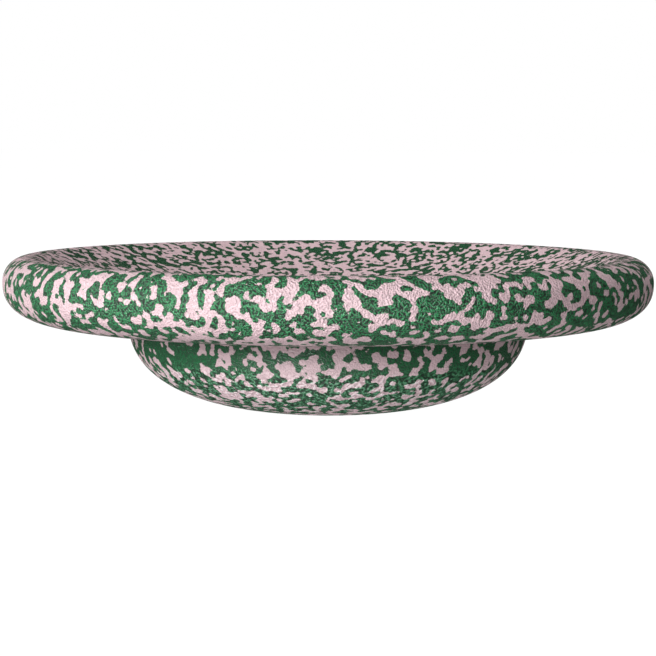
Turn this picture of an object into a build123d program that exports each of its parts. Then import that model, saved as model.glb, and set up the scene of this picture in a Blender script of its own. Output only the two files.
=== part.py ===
from build123d import *
import os
from math import asin, cos, degrees, pi, sin

# A rocker balance board moulded from bead foam: a dished deck with a rolled rim, bonded on a
# rocker dome. Millimetres, +Z up. The origin is the middle of the foot that the board stands
# on, and Z is the board's axis: every piece is turned about it.

# ---- Driving dimensions ----
board_radius = 190.0
board_height = 90.7

# Deck
dish_depth = 40.0           # from the rim's crest down to the middle of the dish
crest_inner_radius = 20.0   # the rim's roundness from its crest into the dish
crest_outer_radius = 13.9   # and from its crest out to the widest point
roll_width = 40.7           # the rim's lower roll, inwards from the widest point
roll_height = 24.4          # and downwards from it
roll_squareness = 2.45      # 2 is an ellipse, and more is squarer
deck_wall = 16.0            # the foam's thickness under the dish

# Rocker dome
dome_radius = 117.9         # at the dome's own widest height, which is hidden in the deck
dome_depth = 58.6           # from that height down to the dome's pole
dome_squareness = 2.55
foot_flat = 0.4             # how much of the pole the flat foot cuts away

# The joint between them
seat_height = 54.0          # the flat land where the deck's underside rests on the dome
seat_inner_radius = 112.0   # inside it the deck's belly drops into the dome's bowl
spigot_taper = 2.0          # how far the belly's locating step leans inwards
bond_thickness = 0.3
bond_setback = 0.6          # how far the film stays inside the crease

spline_steps = 12

# ---- Places that follow from them ----
crest_radius = board_radius - crest_outer_radius
widest_height = board_height - crest_outer_radius
roll_end = (board_radius - roll_width, widest_height - roll_height)

# The dish is a sphere that meets the rim's inner arc without a corner: the distance between
# the two centres is the sum of the radii, and both hang from the crest's height.
dish_sum = (crest_radius ** 2 + dish_depth ** 2) / (2 * dish_depth)
dish_radius = dish_sum - crest_inner_radius
dish_centre_height = board_height - dish_depth + dish_radius
dish_angle = degrees(asin(crest_radius / dish_sum))

belly_radius = dish_radius + deck_wall
spigot_radius = seat_inner_radius - spigot_taper
belly_angle = degrees(asin(spigot_radius / belly_radius))

dome_centre_height = dome_depth - foot_flat
dome_top_height = seat_height - bond_thickness


def superellipse(width, height, squareness, start, end):
    """Points from one angle to another of a quarter superellipse about (0, 0)."""
    points = []
    for step in range(spline_steps + 1):
        angle = start + (end - start) * step / spline_steps
        across = width * max(cos(angle), 0) ** (2 / squareness)
        points.append((across, height * sin(angle) ** (2 / squareness)))
    return points


def dome_angle(height):
    """The angle at which the dome's outline is at a height above the floor."""
    share = (dome_centre_height - height) / dome_depth
    return asin(share ** (dome_squareness / 2))


def seat_outline(drop, outer_radius):
    """The joint's outline from the axis out to a radius, lowered by the given amount."""
    centre = (0, dish_centre_height - drop)
    belly = CenterArc(centre, belly_radius, -90, belly_angle)
    land_start = (seat_inner_radius, seat_height - drop)
    step = Line(belly @ 1, land_start)
    land = Line(land_start, (outer_radius, seat_height - drop))
    return [belly, step, land]


def turned(edges):
    """The solid that a closed outline makes when it is turned about Z."""
    return revolve(Plane.XZ * make_face(edges), Axis.Z)


def dome_outline():
    """The dome's side, from the crease down to the edge of the foot."""
    start = dome_angle(dome_top_height)
    points = superellipse(dome_radius, dome_depth, dome_squareness, start, dome_angle(0))
    return Spline([(across, dome_centre_height - down) for across, down in points])


def make_deck(crease_radius):
    dish = CenterArc((0, dish_centre_height), dish_radius, -90, dish_angle)
    inner_centre = (crest_radius, board_height - crest_inner_radius)
    inner_crest = CenterArc(inner_centre, crest_inner_radius, 90 + dish_angle, -dish_angle)
    outer_crest = CenterArc((crest_radius, widest_height), crest_outer_radius, 90, -90)
    points = superellipse(roll_width, roll_height, roll_squareness, 0, pi / 2)
    roll_points = [(roll_end[0] + across, widest_height - down) for across, down in points]
    roll = Spline(roll_points, tangents=[(0, -1), (-1, 0)])
    seat = seat_outline(0, crease_radius)
    underside = Line(roll_points[-1], seat[-1] @ 1)
    axis = Line(seat[0] @ 0, dish @ 0)
    return turned([dish, inner_crest, outer_crest, roll, underside] + seat + [axis])


def make_dome():
    side = dome_outline()
    seat = seat_outline(bond_thickness, (side @ 0).X)
    foot = Line(side @ 1, (0, 0))
    axis = Line((0, 0), seat[0] @ 0)
    return turned(seat + [side, foot, axis])


def make_bond_film(crease_radius):
    outer_radius = crease_radius - bond_setback
    upper = seat_outline(0, outer_radius)
    lower = seat_outline(bond_thickness, outer_radius)
    edge = Line(upper[-1] @ 1, lower[-1] @ 1)
    axis = Line(upper[0] @ 0, lower[0] @ 0)
    return turned(upper + [edge] + lower + [axis])


crease_radius = (dome_outline() @ 0).X
nodes = {
    "deck": make_deck(crease_radius),
    "rocker_dome": make_dome(),
    "bond_film": make_bond_film(crease_radius),
}

os.makedirs("parts", exist_ok=True)
for name, solid in nodes.items():
    export_step(solid, f"parts/{name}.step")
    print(f"{name}: {solid.volume / 1000:.1f} cm3")
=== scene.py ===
from math import asin, cos, pi, radians, sin

import bmesh
import bpy
import numpy as np
from mathutils import Matrix, Vector


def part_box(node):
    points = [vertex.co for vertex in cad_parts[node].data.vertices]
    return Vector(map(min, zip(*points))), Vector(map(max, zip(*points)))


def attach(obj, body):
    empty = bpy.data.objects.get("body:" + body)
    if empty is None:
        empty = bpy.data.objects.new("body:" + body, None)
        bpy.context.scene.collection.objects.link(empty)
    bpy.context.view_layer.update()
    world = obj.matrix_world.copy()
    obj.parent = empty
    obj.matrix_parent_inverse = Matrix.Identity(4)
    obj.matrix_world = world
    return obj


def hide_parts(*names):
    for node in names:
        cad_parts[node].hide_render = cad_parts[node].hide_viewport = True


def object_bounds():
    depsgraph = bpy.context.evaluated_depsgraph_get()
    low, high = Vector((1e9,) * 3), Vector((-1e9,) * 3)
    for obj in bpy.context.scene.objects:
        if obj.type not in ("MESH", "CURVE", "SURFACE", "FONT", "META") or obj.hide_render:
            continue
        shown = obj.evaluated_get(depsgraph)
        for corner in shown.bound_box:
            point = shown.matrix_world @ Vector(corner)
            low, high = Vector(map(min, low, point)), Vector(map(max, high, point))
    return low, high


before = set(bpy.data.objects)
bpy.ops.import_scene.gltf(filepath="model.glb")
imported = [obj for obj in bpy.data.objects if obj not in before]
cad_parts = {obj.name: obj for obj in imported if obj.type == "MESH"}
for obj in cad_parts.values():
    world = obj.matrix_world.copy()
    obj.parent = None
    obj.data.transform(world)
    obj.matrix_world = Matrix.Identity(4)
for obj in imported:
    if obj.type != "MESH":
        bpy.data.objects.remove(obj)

cad_low, cad_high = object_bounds()
deck_low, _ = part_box("deck")
_, dome_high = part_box("rocker_dome")
_, film_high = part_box("bond_film")

# ---- Shape, as in part.py ----
board_radius = 0.190
board_height = cad_high.z
dish_depth = 0.040
crest_inner_radius = 0.020
crest_outer_radius = 0.0139
roll_width = 0.0407
roll_height = 0.0244
roll_squareness = 2.45
dome_radius = 0.1179
dome_depth = 0.0586
dome_squareness = 2.55
seat_inner_radius = 0.112
spigot_taper = 0.002

seat_height = film_high.z
dome_top_height = dome_high.z
film_thickness = seat_height - dome_top_height
foot_flat = 0.0004          # how much of the dome's pole is cut off
crest_radius = board_radius - crest_outer_radius
widest_height = board_height - crest_outer_radius
dish_sum = (crest_radius ** 2 + dish_depth ** 2) / (2 * dish_depth)
dish_radius = dish_sum - crest_inner_radius
dish_centre_height = board_height - dish_depth + dish_radius
belly_radius = dish_centre_height - deck_low.z

# ---- Mesh density ----
fine_step = 0.0011          # on what shows
coarse_step = 0.006         # inside the joint, where nothing shows
curve_samples = 2001        # along a superellipse, before it is spaced evenly
deck_sectors = 1024
dome_sectors = 768
fewest_sectors = 8
narrowest = 0.55            # of a sector's full width, below which a ring has half the points
on_axis = 1e-6


# ---- Outlines, as lists of (radius, height) from the axis and back to it ----

def arc(centre, radius, start, end, step):
    """Points of an arc between two angles in radians, the last one left out."""
    count = max(2, round(abs(end - start) * radius / step))
    angles = [start + (end - start) * i / count for i in range(count)]
    return [(centre[0] + radius * cos(a), centre[1] + radius * sin(a)) for a in angles]


def line(start, end, step):
    """Points of a straight line, the last one left out."""
    start, end = Vector(start), Vector(end)
    count = max(1, round((end - start).length / step))
    return [tuple(start.lerp(end, i / count)) for i in range(count)]


def superellipse(centre, width, height, squareness, start, end, step):
    """Evenly spaced points of a superellipse that bulges out and down, the last one left out."""
    angles = np.linspace(start, end, curve_samples)
    across = centre[0] + width * np.cos(angles).clip(0) ** (2 / squareness)
    up = centre[1] - height * np.sin(angles).clip(0) ** (2 / squareness)
    along = np.concatenate([[0], np.cumsum(np.hypot(np.diff(across), np.diff(up)))])
    places = np.linspace(0, along[-1], round(along[-1] / step) + 1)[:-1]
    return list(zip(np.interp(places, along, across), np.interp(places, along, up)))


def dome_angle(height):
    """The angle at which the dome's outline is at a height above the floor."""
    return asin(((dome_depth - foot_flat - height) / dome_depth) ** (dome_squareness / 2))


def dome_radius_at(height):
    return dome_radius * cos(dome_angle(height)) ** (2 / dome_squareness)


def seat_outline(drop, outer_radius):
    """The joint's outline from a radius in to near the axis, lowered by the given amount."""
    centre = (0, dish_centre_height - drop)
    spigot_angle = asin((seat_inner_radius - spigot_taper) / belly_radius)
    belly = arc(centre, belly_radius, spigot_angle - pi / 2, -pi / 2, coarse_step)
    land_end = (seat_inner_radius, seat_height - drop)
    land = line((outer_radius, seat_height - drop), land_end, coarse_step)
    return land + line(land_end, belly[0], coarse_step) + belly


def dome_outline():
    centre = (0, dome_depth - foot_flat)
    side = superellipse(centre, dome_radius, dome_depth, dome_squareness,
                        dome_angle(dome_top_height), dome_angle(0), fine_step)
    foot = line((dome_radius_at(0), 0), (0, 0), fine_step)
    bowl = seat_outline(film_thickness, side[0][0]) + [(0, deck_low.z - film_thickness)]
    return bowl[::-1] + side + foot + [(0, 0)]


def deck_outline():
    dish_angle = asin(crest_radius / dish_sum)
    dish_centre = (0, dish_centre_height)
    dish = arc(dish_centre, dish_radius, -pi / 2, dish_angle - pi / 2, fine_step)
    inner_centre = (crest_radius, board_height - crest_inner_radius)
    inner = arc(inner_centre, crest_inner_radius, pi / 2 + dish_angle, pi / 2, fine_step)
    outer = arc((crest_radius, widest_height), crest_outer_radius, pi / 2, 0, fine_step)
    roll_centre = (board_radius - roll_width, widest_height)
    roll = superellipse(roll_centre, roll_width, roll_height, roll_squareness,
                        0, pi / 2, fine_step)
    roll_end = (roll_centre[0], widest_height - roll_height)
    crease_radius = dome_radius_at(dome_top_height)
    underside = line(roll_end, (crease_radius, seat_height), fine_step)
    belly = seat_outline(0, crease_radius) + [(0, deck_low.z)]
    return dish + inner + outer + roll + underside + belly


# ---- Meshes ----

def turned(name, outline, sectors):
    """A closed mesh made by turning an outline about Z, with fewer sectors near the axis."""
    widest = max(radius for radius, _ in outline)
    step = 2 * pi * widest / sectors
    points, rings = [], []
    for radius, height in outline:
        count = sectors
        while count > fewest_sectors and 2 * pi * radius < narrowest * step * count:
            count //= 2
        count = 1 if radius < on_axis else count
        angles = 2 * pi * np.arange(count) / count
        first = sum(len(ring) for ring in points)
        points.append(np.column_stack([radius * np.sin(angles), -radius * np.cos(angles),
                                       np.full(count, height)]))
        rings.append(range(first, first + count))
    faces = []
    for inner, outer in zip(rings, rings[1:]):
        faces += strip(inner, outer)
    mesh = bpy.data.meshes.new(name)
    mesh.from_pydata(np.concatenate(points).tolist(), [], faces)
    mesh.polygons.foreach_set("use_smooth", [True] * len(mesh.polygons))
    mesh.update()
    piece = bpy.data.objects.new(name, mesh)
    bpy.context.scene.collection.objects.link(piece)
    return piece


def strip(first, second):
    """The faces between two rings: equal ones, or one of twice the points, or one of one point."""
    if len(first) == 1:
        return [(first[0], second[i], second[(i + 1) % len(second)]) for i in range(len(second))]
    if len(second) == 1 or len(first) > len(second):
        return [face[::-1] for face in strip(second, first)]
    if len(first) == len(second):
        following = [(i + 1) % len(first) for i in range(len(first))]
        return [(first[i], second[i], second[j], first[j]) for i, j in enumerate(following)]
    faces = []
    for i in range(len(first)):
        j = (i + 1) % len(first)
        left, middle, right = second[2 * i], second[2 * i + 1], second[2 * j]
        faces += [(first[i], left, middle), (first[i], middle, first[j]),
                  (first[j], middle, right)]
    return faces


# ---- Nodes ----

class Nodes:
    """Adds nodes to a material's tree, each with its settings and what feeds its sockets."""

    def __init__(self, name):
        self.material = bpy.data.materials.new(name)
        self.material.use_nodes = True
        self.tree = self.material.node_tree
        self.tree.nodes.clear()

    def add(self, kind, inputs=None, **settings):
        node = self.tree.nodes.new(kind)
        for key, value in settings.items():
            setattr(node, key, value)
        for key, value in (inputs or {}).items():
            if isinstance(value, bpy.types.NodeSocket):
                self.tree.links.new(value, node.inputs[key])
            else:
                node.inputs[key].default_value = value
        return node

    def finished(self, surface):
        """The material, with a shader's output as its surface."""
        self.add("ShaderNodeOutputMaterial", {"Surface": surface.outputs[0]})
        return self.material

    def maths(self, operation, *values):
        inputs = dict(enumerate(values))
        return self.add("ShaderNodeMath", inputs, operation=operation).outputs[0]

    def vector(self, operation, *values):
        inputs = dict(enumerate(values))
        return self.add("ShaderNodeVectorMath", inputs, operation=operation).outputs[0]

    def scaled(self, vector, factor):
        inputs = {0: vector, "Scale": factor}
        return self.add("ShaderNodeVectorMath", inputs, operation="SCALE").outputs[0]

    def noise(self, vector, size, detail=2.0, roughness=0.5):
        """A noise texture whose features are about the given size."""
        inputs = {"Vector": vector, "Scale": 1 / size, "Detail": detail, "Roughness": roughness}
        return self.add("ShaderNodeTexNoise", inputs, noise_dimensions="3D")

    def ramp(self, value, low, high, to_low=0.0, to_high=1.0):
        """A smooth step from one value to another as the first goes from low to high."""
        inputs = {"Value": value, "From Min": low, "From Max": high,
                  "To Min": to_low, "To Max": to_high}
        return self.add("ShaderNodeMapRange", inputs, interpolation_type="SMOOTHSTEP").outputs[0]

    def between(self, factor, first, second):
        """A straight blend of two numbers by a factor of 0 to 1."""
        inputs = {"Value": factor, "From Min": 0, "From Max": 1,
                  "To Min": first, "To Max": second}
        return self.add("ShaderNodeMapRange", inputs, interpolation_type="LINEAR").outputs[0]

    def mix(self, factor, first, second):
        """A straight blend of two colours by a factor of 0 to 1."""
        inputs = {0: factor, 6: first, 7: second}
        return self.add("ShaderNodeMix", inputs, data_type="RGBA").outputs[2]


# ---- Foam ----

pink = (0.735, 0.530, 0.567, 1)
green = (0.022, 0.114, 0.047, 1)
green_in_dish = (0.013, 0.072, 0.029, 1)
glint_pink = (0.95, 0.90, 0.91, 1)     # painted glints on the high spots of the dome's grain
glint_green = (0.20, 0.40, 0.27, 1)

bead_size = 0.0035
bead_rounding = 0.00125     # how far the outline of a patch is rounded off
bead_votes = 20             # points on the ball that decides the colour at its centre
dish_fineness = 1.42        # how much smaller the patches are in the dish
pink_on_dome, pink_on_rim, pink_in_dish = 0.495, 0.535, 0.600   # more is pinker
drift_size, drift_depth = 0.05, 0.2         # of a slow change in the share of green
wander_size, wander_depth = 0.0013, 0.0010  # of the patches' uneven outlines
edge_wave = 0.006                           # size and depth of the dish's uneven edge
darkest_bead, lightest_bead = 0.95, 1.05

grain_size = 0.0010
coarse_grain_size = 0.0017      # on the dome's lower half
fine_grain_size = 0.00025
grain_crispness = 0.4
fine_grain_depth = 0.1          # beside the main grain
grain_relief = 0.0016
smooth_from, smooth_to = 0.033, 0.053   # heights between which the skin has little grain
rough_below, rough_above = 0.004, 0.002     # how far the change reaches past those heights
low_start, low_full = smooth_from + 0.004, smooth_from - 0.006  # heights, going down the dome
dish_grain, dome_grain, least_grain = 0.3, 0.8, 0.35    # beside the rim's
painted_grain_shading_in_pink = 0.14, 0.30         # strength of the painted grain shading, on the rim and low on the dome
painted_grain_shading_in_green = 1.12, 1.10
hollow_noise, crest_noise = 0.39, 0.64  # the noise's values in the grain's hollows and crests
# painted shade in the grain's hollows and painted highlight on its crests
painted_hollow_shade, painted_crest_highlight = -0.75, 1.35
# of the painted glints on the grain's crests, low on the dome
glint_noise, glint_strength = 0.54, 0.7
crease_from, crease_full = 0.0475, 0.0515   # heights between which the painted shade round the crease comes
crease_end, crease_clear = 0.0533, 0.0546   # and between which it goes
# how dark the painted shade round the crease makes the foam
painted_crease_shade = 0.60
rim_colours_from, rim_colours_full = 0.0530, 0.0545
hollow_roughness, pink_roughness, green_roughness = 0.50, 0.24, 0.17
dull_noise, shiny_noise = 0.35, 0.65
foam_ior = 1.49
foam_specular = 0.68


def ball_points(radius, count):
    """The centre of a ball and points spread evenly over its surface."""
    points = [Vector()]
    golden_turn = pi * (3 - 5 ** 0.5)
    for i in range(count):
        up = 1 - (2 * i + 1) / count
        turn = i * golden_turn
        across = (1 - up * up) ** 0.5
        points.append(radius * Vector((across * cos(turn), across * sin(turn), up)))
    return points


def two_colours(n, place, threshold):
    """1 where the surface is green and 0 where it is pink, and a random tone for each bead.

    Each Voronoi cell is a bead, green or pink by its own random value. A point takes the
    colour that most of the ball round it has, so patches of beads have rounded outlines.
    """
    drift = n.noise(place, drift_size, detail=0.0).outputs["Fac"]
    level = n.maths("MULTIPLY_ADD", drift, -drift_depth, threshold)
    noise_middle = (0.5, 0.5, 0.5)
    wander = n.noise(place, wander_size, detail=0.0).outputs["Color"]
    wander = n.scaled(n.vector("SUBTRACT", wander, noise_middle), wander_depth)
    moved = n.vector("ADD", place, wander)
    votes, tone = 0.0, None
    points = ball_points(bead_rounding, bead_votes)
    for point in points:
        near = n.vector("ADD", moved, tuple(point))
        beads = n.add("ShaderNodeTexVoronoi",
                      {"Vector": near, "Scale": 1 / bead_size, "Randomness": 1.0},
                      feature="F1", voronoi_dimensions="3D")
        values = n.add("ShaderNodeSeparateColor", {0: beads.outputs["Color"]}).outputs
        votes = n.maths("ADD", n.maths("GREATER_THAN", values["Red"], level), votes)
        tone = tone or values["Green"]
    half = len(points) / 2
    return n.ramp(votes, half - 1, half + 1), tone


def dish_zone(n, place):
    """1 in the dish and 0 outside it, with a slightly uneven edge."""
    waver = n.noise(place, edge_wave, detail=1.0).outputs["Fac"]
    centre = (0, 0, dish_centre_height)
    distance = n.add("ShaderNodeVectorMath", {0: place, 1: centre}, operation="DISTANCE")
    edge = n.maths("MULTIPLY_ADD", waver, edge_wave, dish_radius)
    return n.maths("LESS_THAN", distance.outputs["Value"], edge)


def grain_strength(n, height, in_dish, low):
    """How strong the mould's grain is: full on the rim, less elsewhere."""
    dome_part = n.ramp(height, smooth_from - rough_below, smooth_from + rough_below, 1.0, 0.0)
    rim_part = n.ramp(height, smooth_to - rough_above, smooth_to + rough_above)
    strength = n.maths("ADD", dome_part, rim_part)
    strength = n.maths("MULTIPLY", strength, n.ramp(in_dish, 0, 1, 1.0, dish_grain))
    strength = n.between(strength, least_grain, 1.0)
    return n.maths("MULTIPLY", strength, n.between(low, 1.0, dome_grain))


def painted_crease_shade_zone(n, height, in_dish):
    """1 where shade is painted round the crease and 0 elsewhere. The dish reaches down to the same
    height without it.
    """
    zone = n.maths("MULTIPLY", n.ramp(height, crease_from, crease_full),
                   n.ramp(height, crease_end, crease_clear, 1.0, 0.0))
    return n.maths("MULTIPLY", zone, n.between(in_dish, 1.0, 0.0))


def foam_material():
    """Beads of two colours, fused in the mould, with the mould's leathery grain over them."""
    n = Nodes("bead_foam")
    place = n.add("ShaderNodeTexCoord").outputs["Object"]
    height = n.add("ShaderNodeSeparateXYZ", {0: place}).outputs["Z"]
    in_dish = dish_zone(n, place)
    low = n.ramp(height, low_full, low_start, 1.0, 0.0)

    # The patches. The dome has a little more green, and the dish less, in smaller patches.
    outside = n.ramp(height, rim_colours_from, rim_colours_full, pink_on_dome, pink_on_rim)
    threshold = n.between(in_dish, outside, pink_in_dish)
    fineness = n.between(in_dish, 1, dish_fineness)
    is_green, tone = two_colours(n, n.scaled(place, fineness), threshold)

    # The grain, coarser on the dome's lower half.
    strength = grain_strength(n, height, in_dish, low)
    leather = n.noise(place, grain_size, detail=1.0, roughness=grain_crispness).outputs["Fac"]
    coarse = n.noise(place, coarse_grain_size, detail=1.0, roughness=grain_crispness)
    coarse = coarse.outputs["Fac"]
    leather = n.between(low, leather, coarse)
    fine = n.noise(place, fine_grain_size, detail=1.0).outputs["Fac"]
    relief = n.maths("MULTIPLY_ADD", fine, fine_grain_depth, leather)
    relief = n.maths("MULTIPLY", relief, strength)

    # The colour: each bead's own tone, with painted highlight on the grain's crests, painted shade
    # in its hollows and painted shade round the crease.
    depth = n.between(is_green, n.between(low, *painted_grain_shading_in_pink),
                      n.between(low, *painted_grain_shading_in_green))
    depth = n.maths("MULTIPLY", depth, n.maths("MINIMUM", strength, 1.0))
    painted_grain_shading = n.ramp(leather, hollow_noise, crest_noise, painted_hollow_shade, painted_crest_highlight)
    shade = n.maths("MULTIPLY_ADD", painted_grain_shading, depth, n.between(tone, darkest_bead, lightest_bead))
    painted_crease_shade_mask = painted_crease_shade_zone(n, height, in_dish)
    shade = n.maths("MULTIPLY", shade, n.between(painted_crease_shade_mask, 1.0, painted_crease_shade))
    colour = n.mix(is_green, pink, n.mix(in_dish, green, green_in_dish))
    colour = n.scaled(colour, shade)
    # Painted glints on the grain's crests, low on the dome, in each colour's own hue.
    painted_glints = n.maths("MULTIPLY", n.ramp(leather, glint_noise, crest_noise),
                     n.maths("MULTIPLY", low, glint_strength))
    colour = n.mix(painted_glints, colour, n.mix(is_green, glint_pink, glint_green))

    crest_roughness = n.ramp(is_green, 0, 1, pink_roughness, green_roughness)
    roughness = n.ramp(leather, dull_noise, shiny_noise, hollow_roughness, crest_roughness)
    bump = n.add("ShaderNodeBump", {"Height": relief, "Strength": 1.0, "Distance": grain_relief})
    return n.finished(n.add("ShaderNodeBsdfPrincipled", {
        "Base Color": colour, "Roughness": roughness, "Normal": bump.outputs[0],
        "IOR": foam_ior, "Specular IOR Level": foam_specular}))


# ---- Adhesive ----

dark_adhesive = (0.05, 0.06, 0.05, 1)
pale_adhesive = (0.11, 0.12, 0.10, 1)
adhesive_patch = 0.006
adhesive_relief = 0.0002
adhesive_bump = 0.5
dark_noise, pale_noise = 0.3, 0.7
dark_roughness, pale_roughness = 0.5, 0.7


def film_material():
    """Dull grey-green adhesive, a little uneven."""
    n = Nodes("adhesive")
    place = n.add("ShaderNodeTexCoord").outputs["Object"]
    patches = n.noise(place, adhesive_patch, detail=3.0).outputs["Fac"]
    colour = n.mix(patches, dark_adhesive, pale_adhesive)
    roughness = n.ramp(patches, dark_noise, pale_noise, dark_roughness, pale_roughness)
    bump = n.add("ShaderNodeBump", {"Height": patches, "Strength": adhesive_bump,
                                    "Distance": adhesive_relief})
    return n.finished(n.add("ShaderNodeBsdfPrincipled", {
        "Base Color": colour, "Roughness": roughness, "Normal": bump.outputs[0]}))


# ---- The board ----

foam = foam_material()
deck = turned("deck_moulding", deck_outline(), deck_sectors)
dome = turned("dome_moulding", dome_outline(), dome_sectors)
for piece, node in ((deck, "deck"), (dome, "rocker_dome")):
    piece.data.materials.append(foam)
    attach(piece, "root")
    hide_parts(node)
film = film_material()
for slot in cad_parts["bond_film"].material_slots:
    slot.material = film


# ---- Studio ----

white = (1, 1, 1, 1)
floor_half = 15
backdrop_radius = 14
bounce_drop = 0.0005        # how far the sheet that lights the board is under the floor
floor_glow = 1.0
bounce_glow = 0.34
world_glow = 0.04
floor_grey = (0.05, 0.05, 0.05, 1)
light_distance = 2.5


def plain_emission(name, strength):
    n = Nodes(name)
    return n.finished(n.add("ShaderNodeEmission", {"Color": white, "Strength": strength}))


def floor_material():
    """Pale floor, mostly self-lit, so that it stays white and still takes a soft shadow."""
    n = Nodes("pale_floor")
    glow = n.add("ShaderNodeEmission", {"Color": white, "Strength": floor_glow})
    matte = n.add("ShaderNodeBsdfDiffuse", {"Color": floor_grey})
    return n.finished(n.add("ShaderNodeAddShader", {0: glow.outputs[0], 1: matte.outputs[0]}))


def stage_piece(name, mesh, material):
    """A piece of the stage, which casts no shadow and is in no reflection."""
    mesh.materials.append(material)
    piece = bpy.data.objects.new(name, mesh)
    bpy.context.scene.collection.objects.link(piece)
    piece.visible_glossy = False
    piece.visible_shadow = False
    return piece


def flat_sheet(name, half, height):
    mesh = bpy.data.meshes.new(name)
    corners = [(x, y, height) for x, y in ((-half, -half), (half, -half),
                                           (half, half), (-half, half))]
    mesh.from_pydata(corners, [], [(0, 1, 2, 3)])
    return mesh


def sphere(name, radius):
    mesh = bpy.data.meshes.new(name)
    ball = bmesh.new()
    bmesh.ops.create_uvsphere(ball, u_segments=48, v_segments=24, radius=radius)
    ball.to_mesh(mesh)
    ball.free()
    return mesh


def make_studio():
    """A floor and backdrop that only the camera sees, and a sheet and a world that give light."""
    floor = stage_piece("floor", flat_sheet("floor", floor_half, 0.0), floor_material())
    floor.visible_diffuse = False
    bounce = stage_piece("floor_bounce", flat_sheet("floor_bounce", floor_half, -bounce_drop),
                         plain_emission("floor_bounce", bounce_glow))
    bounce.visible_camera = False

    world = bpy.data.worlds.new("studio")
    world.use_nodes = True
    background = world.node_tree.nodes["Background"]
    background.inputs["Color"].default_value = white
    background.inputs["Strength"].default_value = world_glow
    bpy.context.scene.world = world

    backdrop = stage_piece("backdrop", sphere("backdrop", backdrop_radius),
                           plain_emission("backdrop", 1.0))
    backdrop.visible_diffuse = False


def softbox(name, azimuth, elevation, size, power):
    """A square area light that faces the board. Azimuth 0 is the camera's side, and + is right."""
    a, e = radians(azimuth), radians(elevation)
    back = Vector((sin(a) * cos(e), -cos(a) * cos(e), sin(e)))
    target = Vector((0, 0, board_height / 2))
    lamp = bpy.data.lights.new(name, "AREA")
    lamp.shape, lamp.size, lamp.energy = "SQUARE", size, power
    piece = bpy.data.objects.new(name, lamp)
    piece.location = target + back * light_distance
    piece.rotation_mode = "QUATERNION"
    piece.rotation_quaternion = (-back).to_track_quat("-Z", "Y")
    bpy.context.scene.collection.objects.link(piece)
    return piece


def make_camera():
    distance, elevation, roll = 1.28, 7.39, 0.17
    aim = Vector((0, 0, 0.0478))
    back = Vector((0, -cos(radians(elevation)), sin(radians(elevation))))
    camera = bpy.data.cameras.new("camera")
    camera.lens, camera.sensor_width = 118.4, 36.0
    piece = bpy.data.objects.new("camera", camera)
    piece.location = back * distance
    turn = (aim - piece.location).to_track_quat("-Z", "Y").to_matrix().to_4x4()
    piece.matrix_world = (Matrix.Translation(piece.location) @ turn
                          @ Matrix.Rotation(radians(roll), 4, "Z"))
    bpy.context.scene.collection.objects.link(piece)
    bpy.context.scene.camera = piece


make_studio()
softbox("key_softbox", -43, 19, 0.9, 57)
softbox("front_softbox", -7, 18, 0.9, 26)
softbox("left_softbox", -95, 10, 1.0, 13)
softbox("low_softbox", -42, -66, 1.0, 26)
softbox("top_softbox", 0, 84, 1.6, 6)
for behind in (softbox("back_softbox", 175, 22, 1.8, 3),
               softbox("rear_softbox", 138, 24, 1.5, 29),
               softbox("rear_left_softbox", -140, 24, 1.5, 14)):
    behind.visible_glossy = False       # so that no sheen greys the dish
make_camera()
bpy.context.scene.view_settings.view_transform = "Standard"
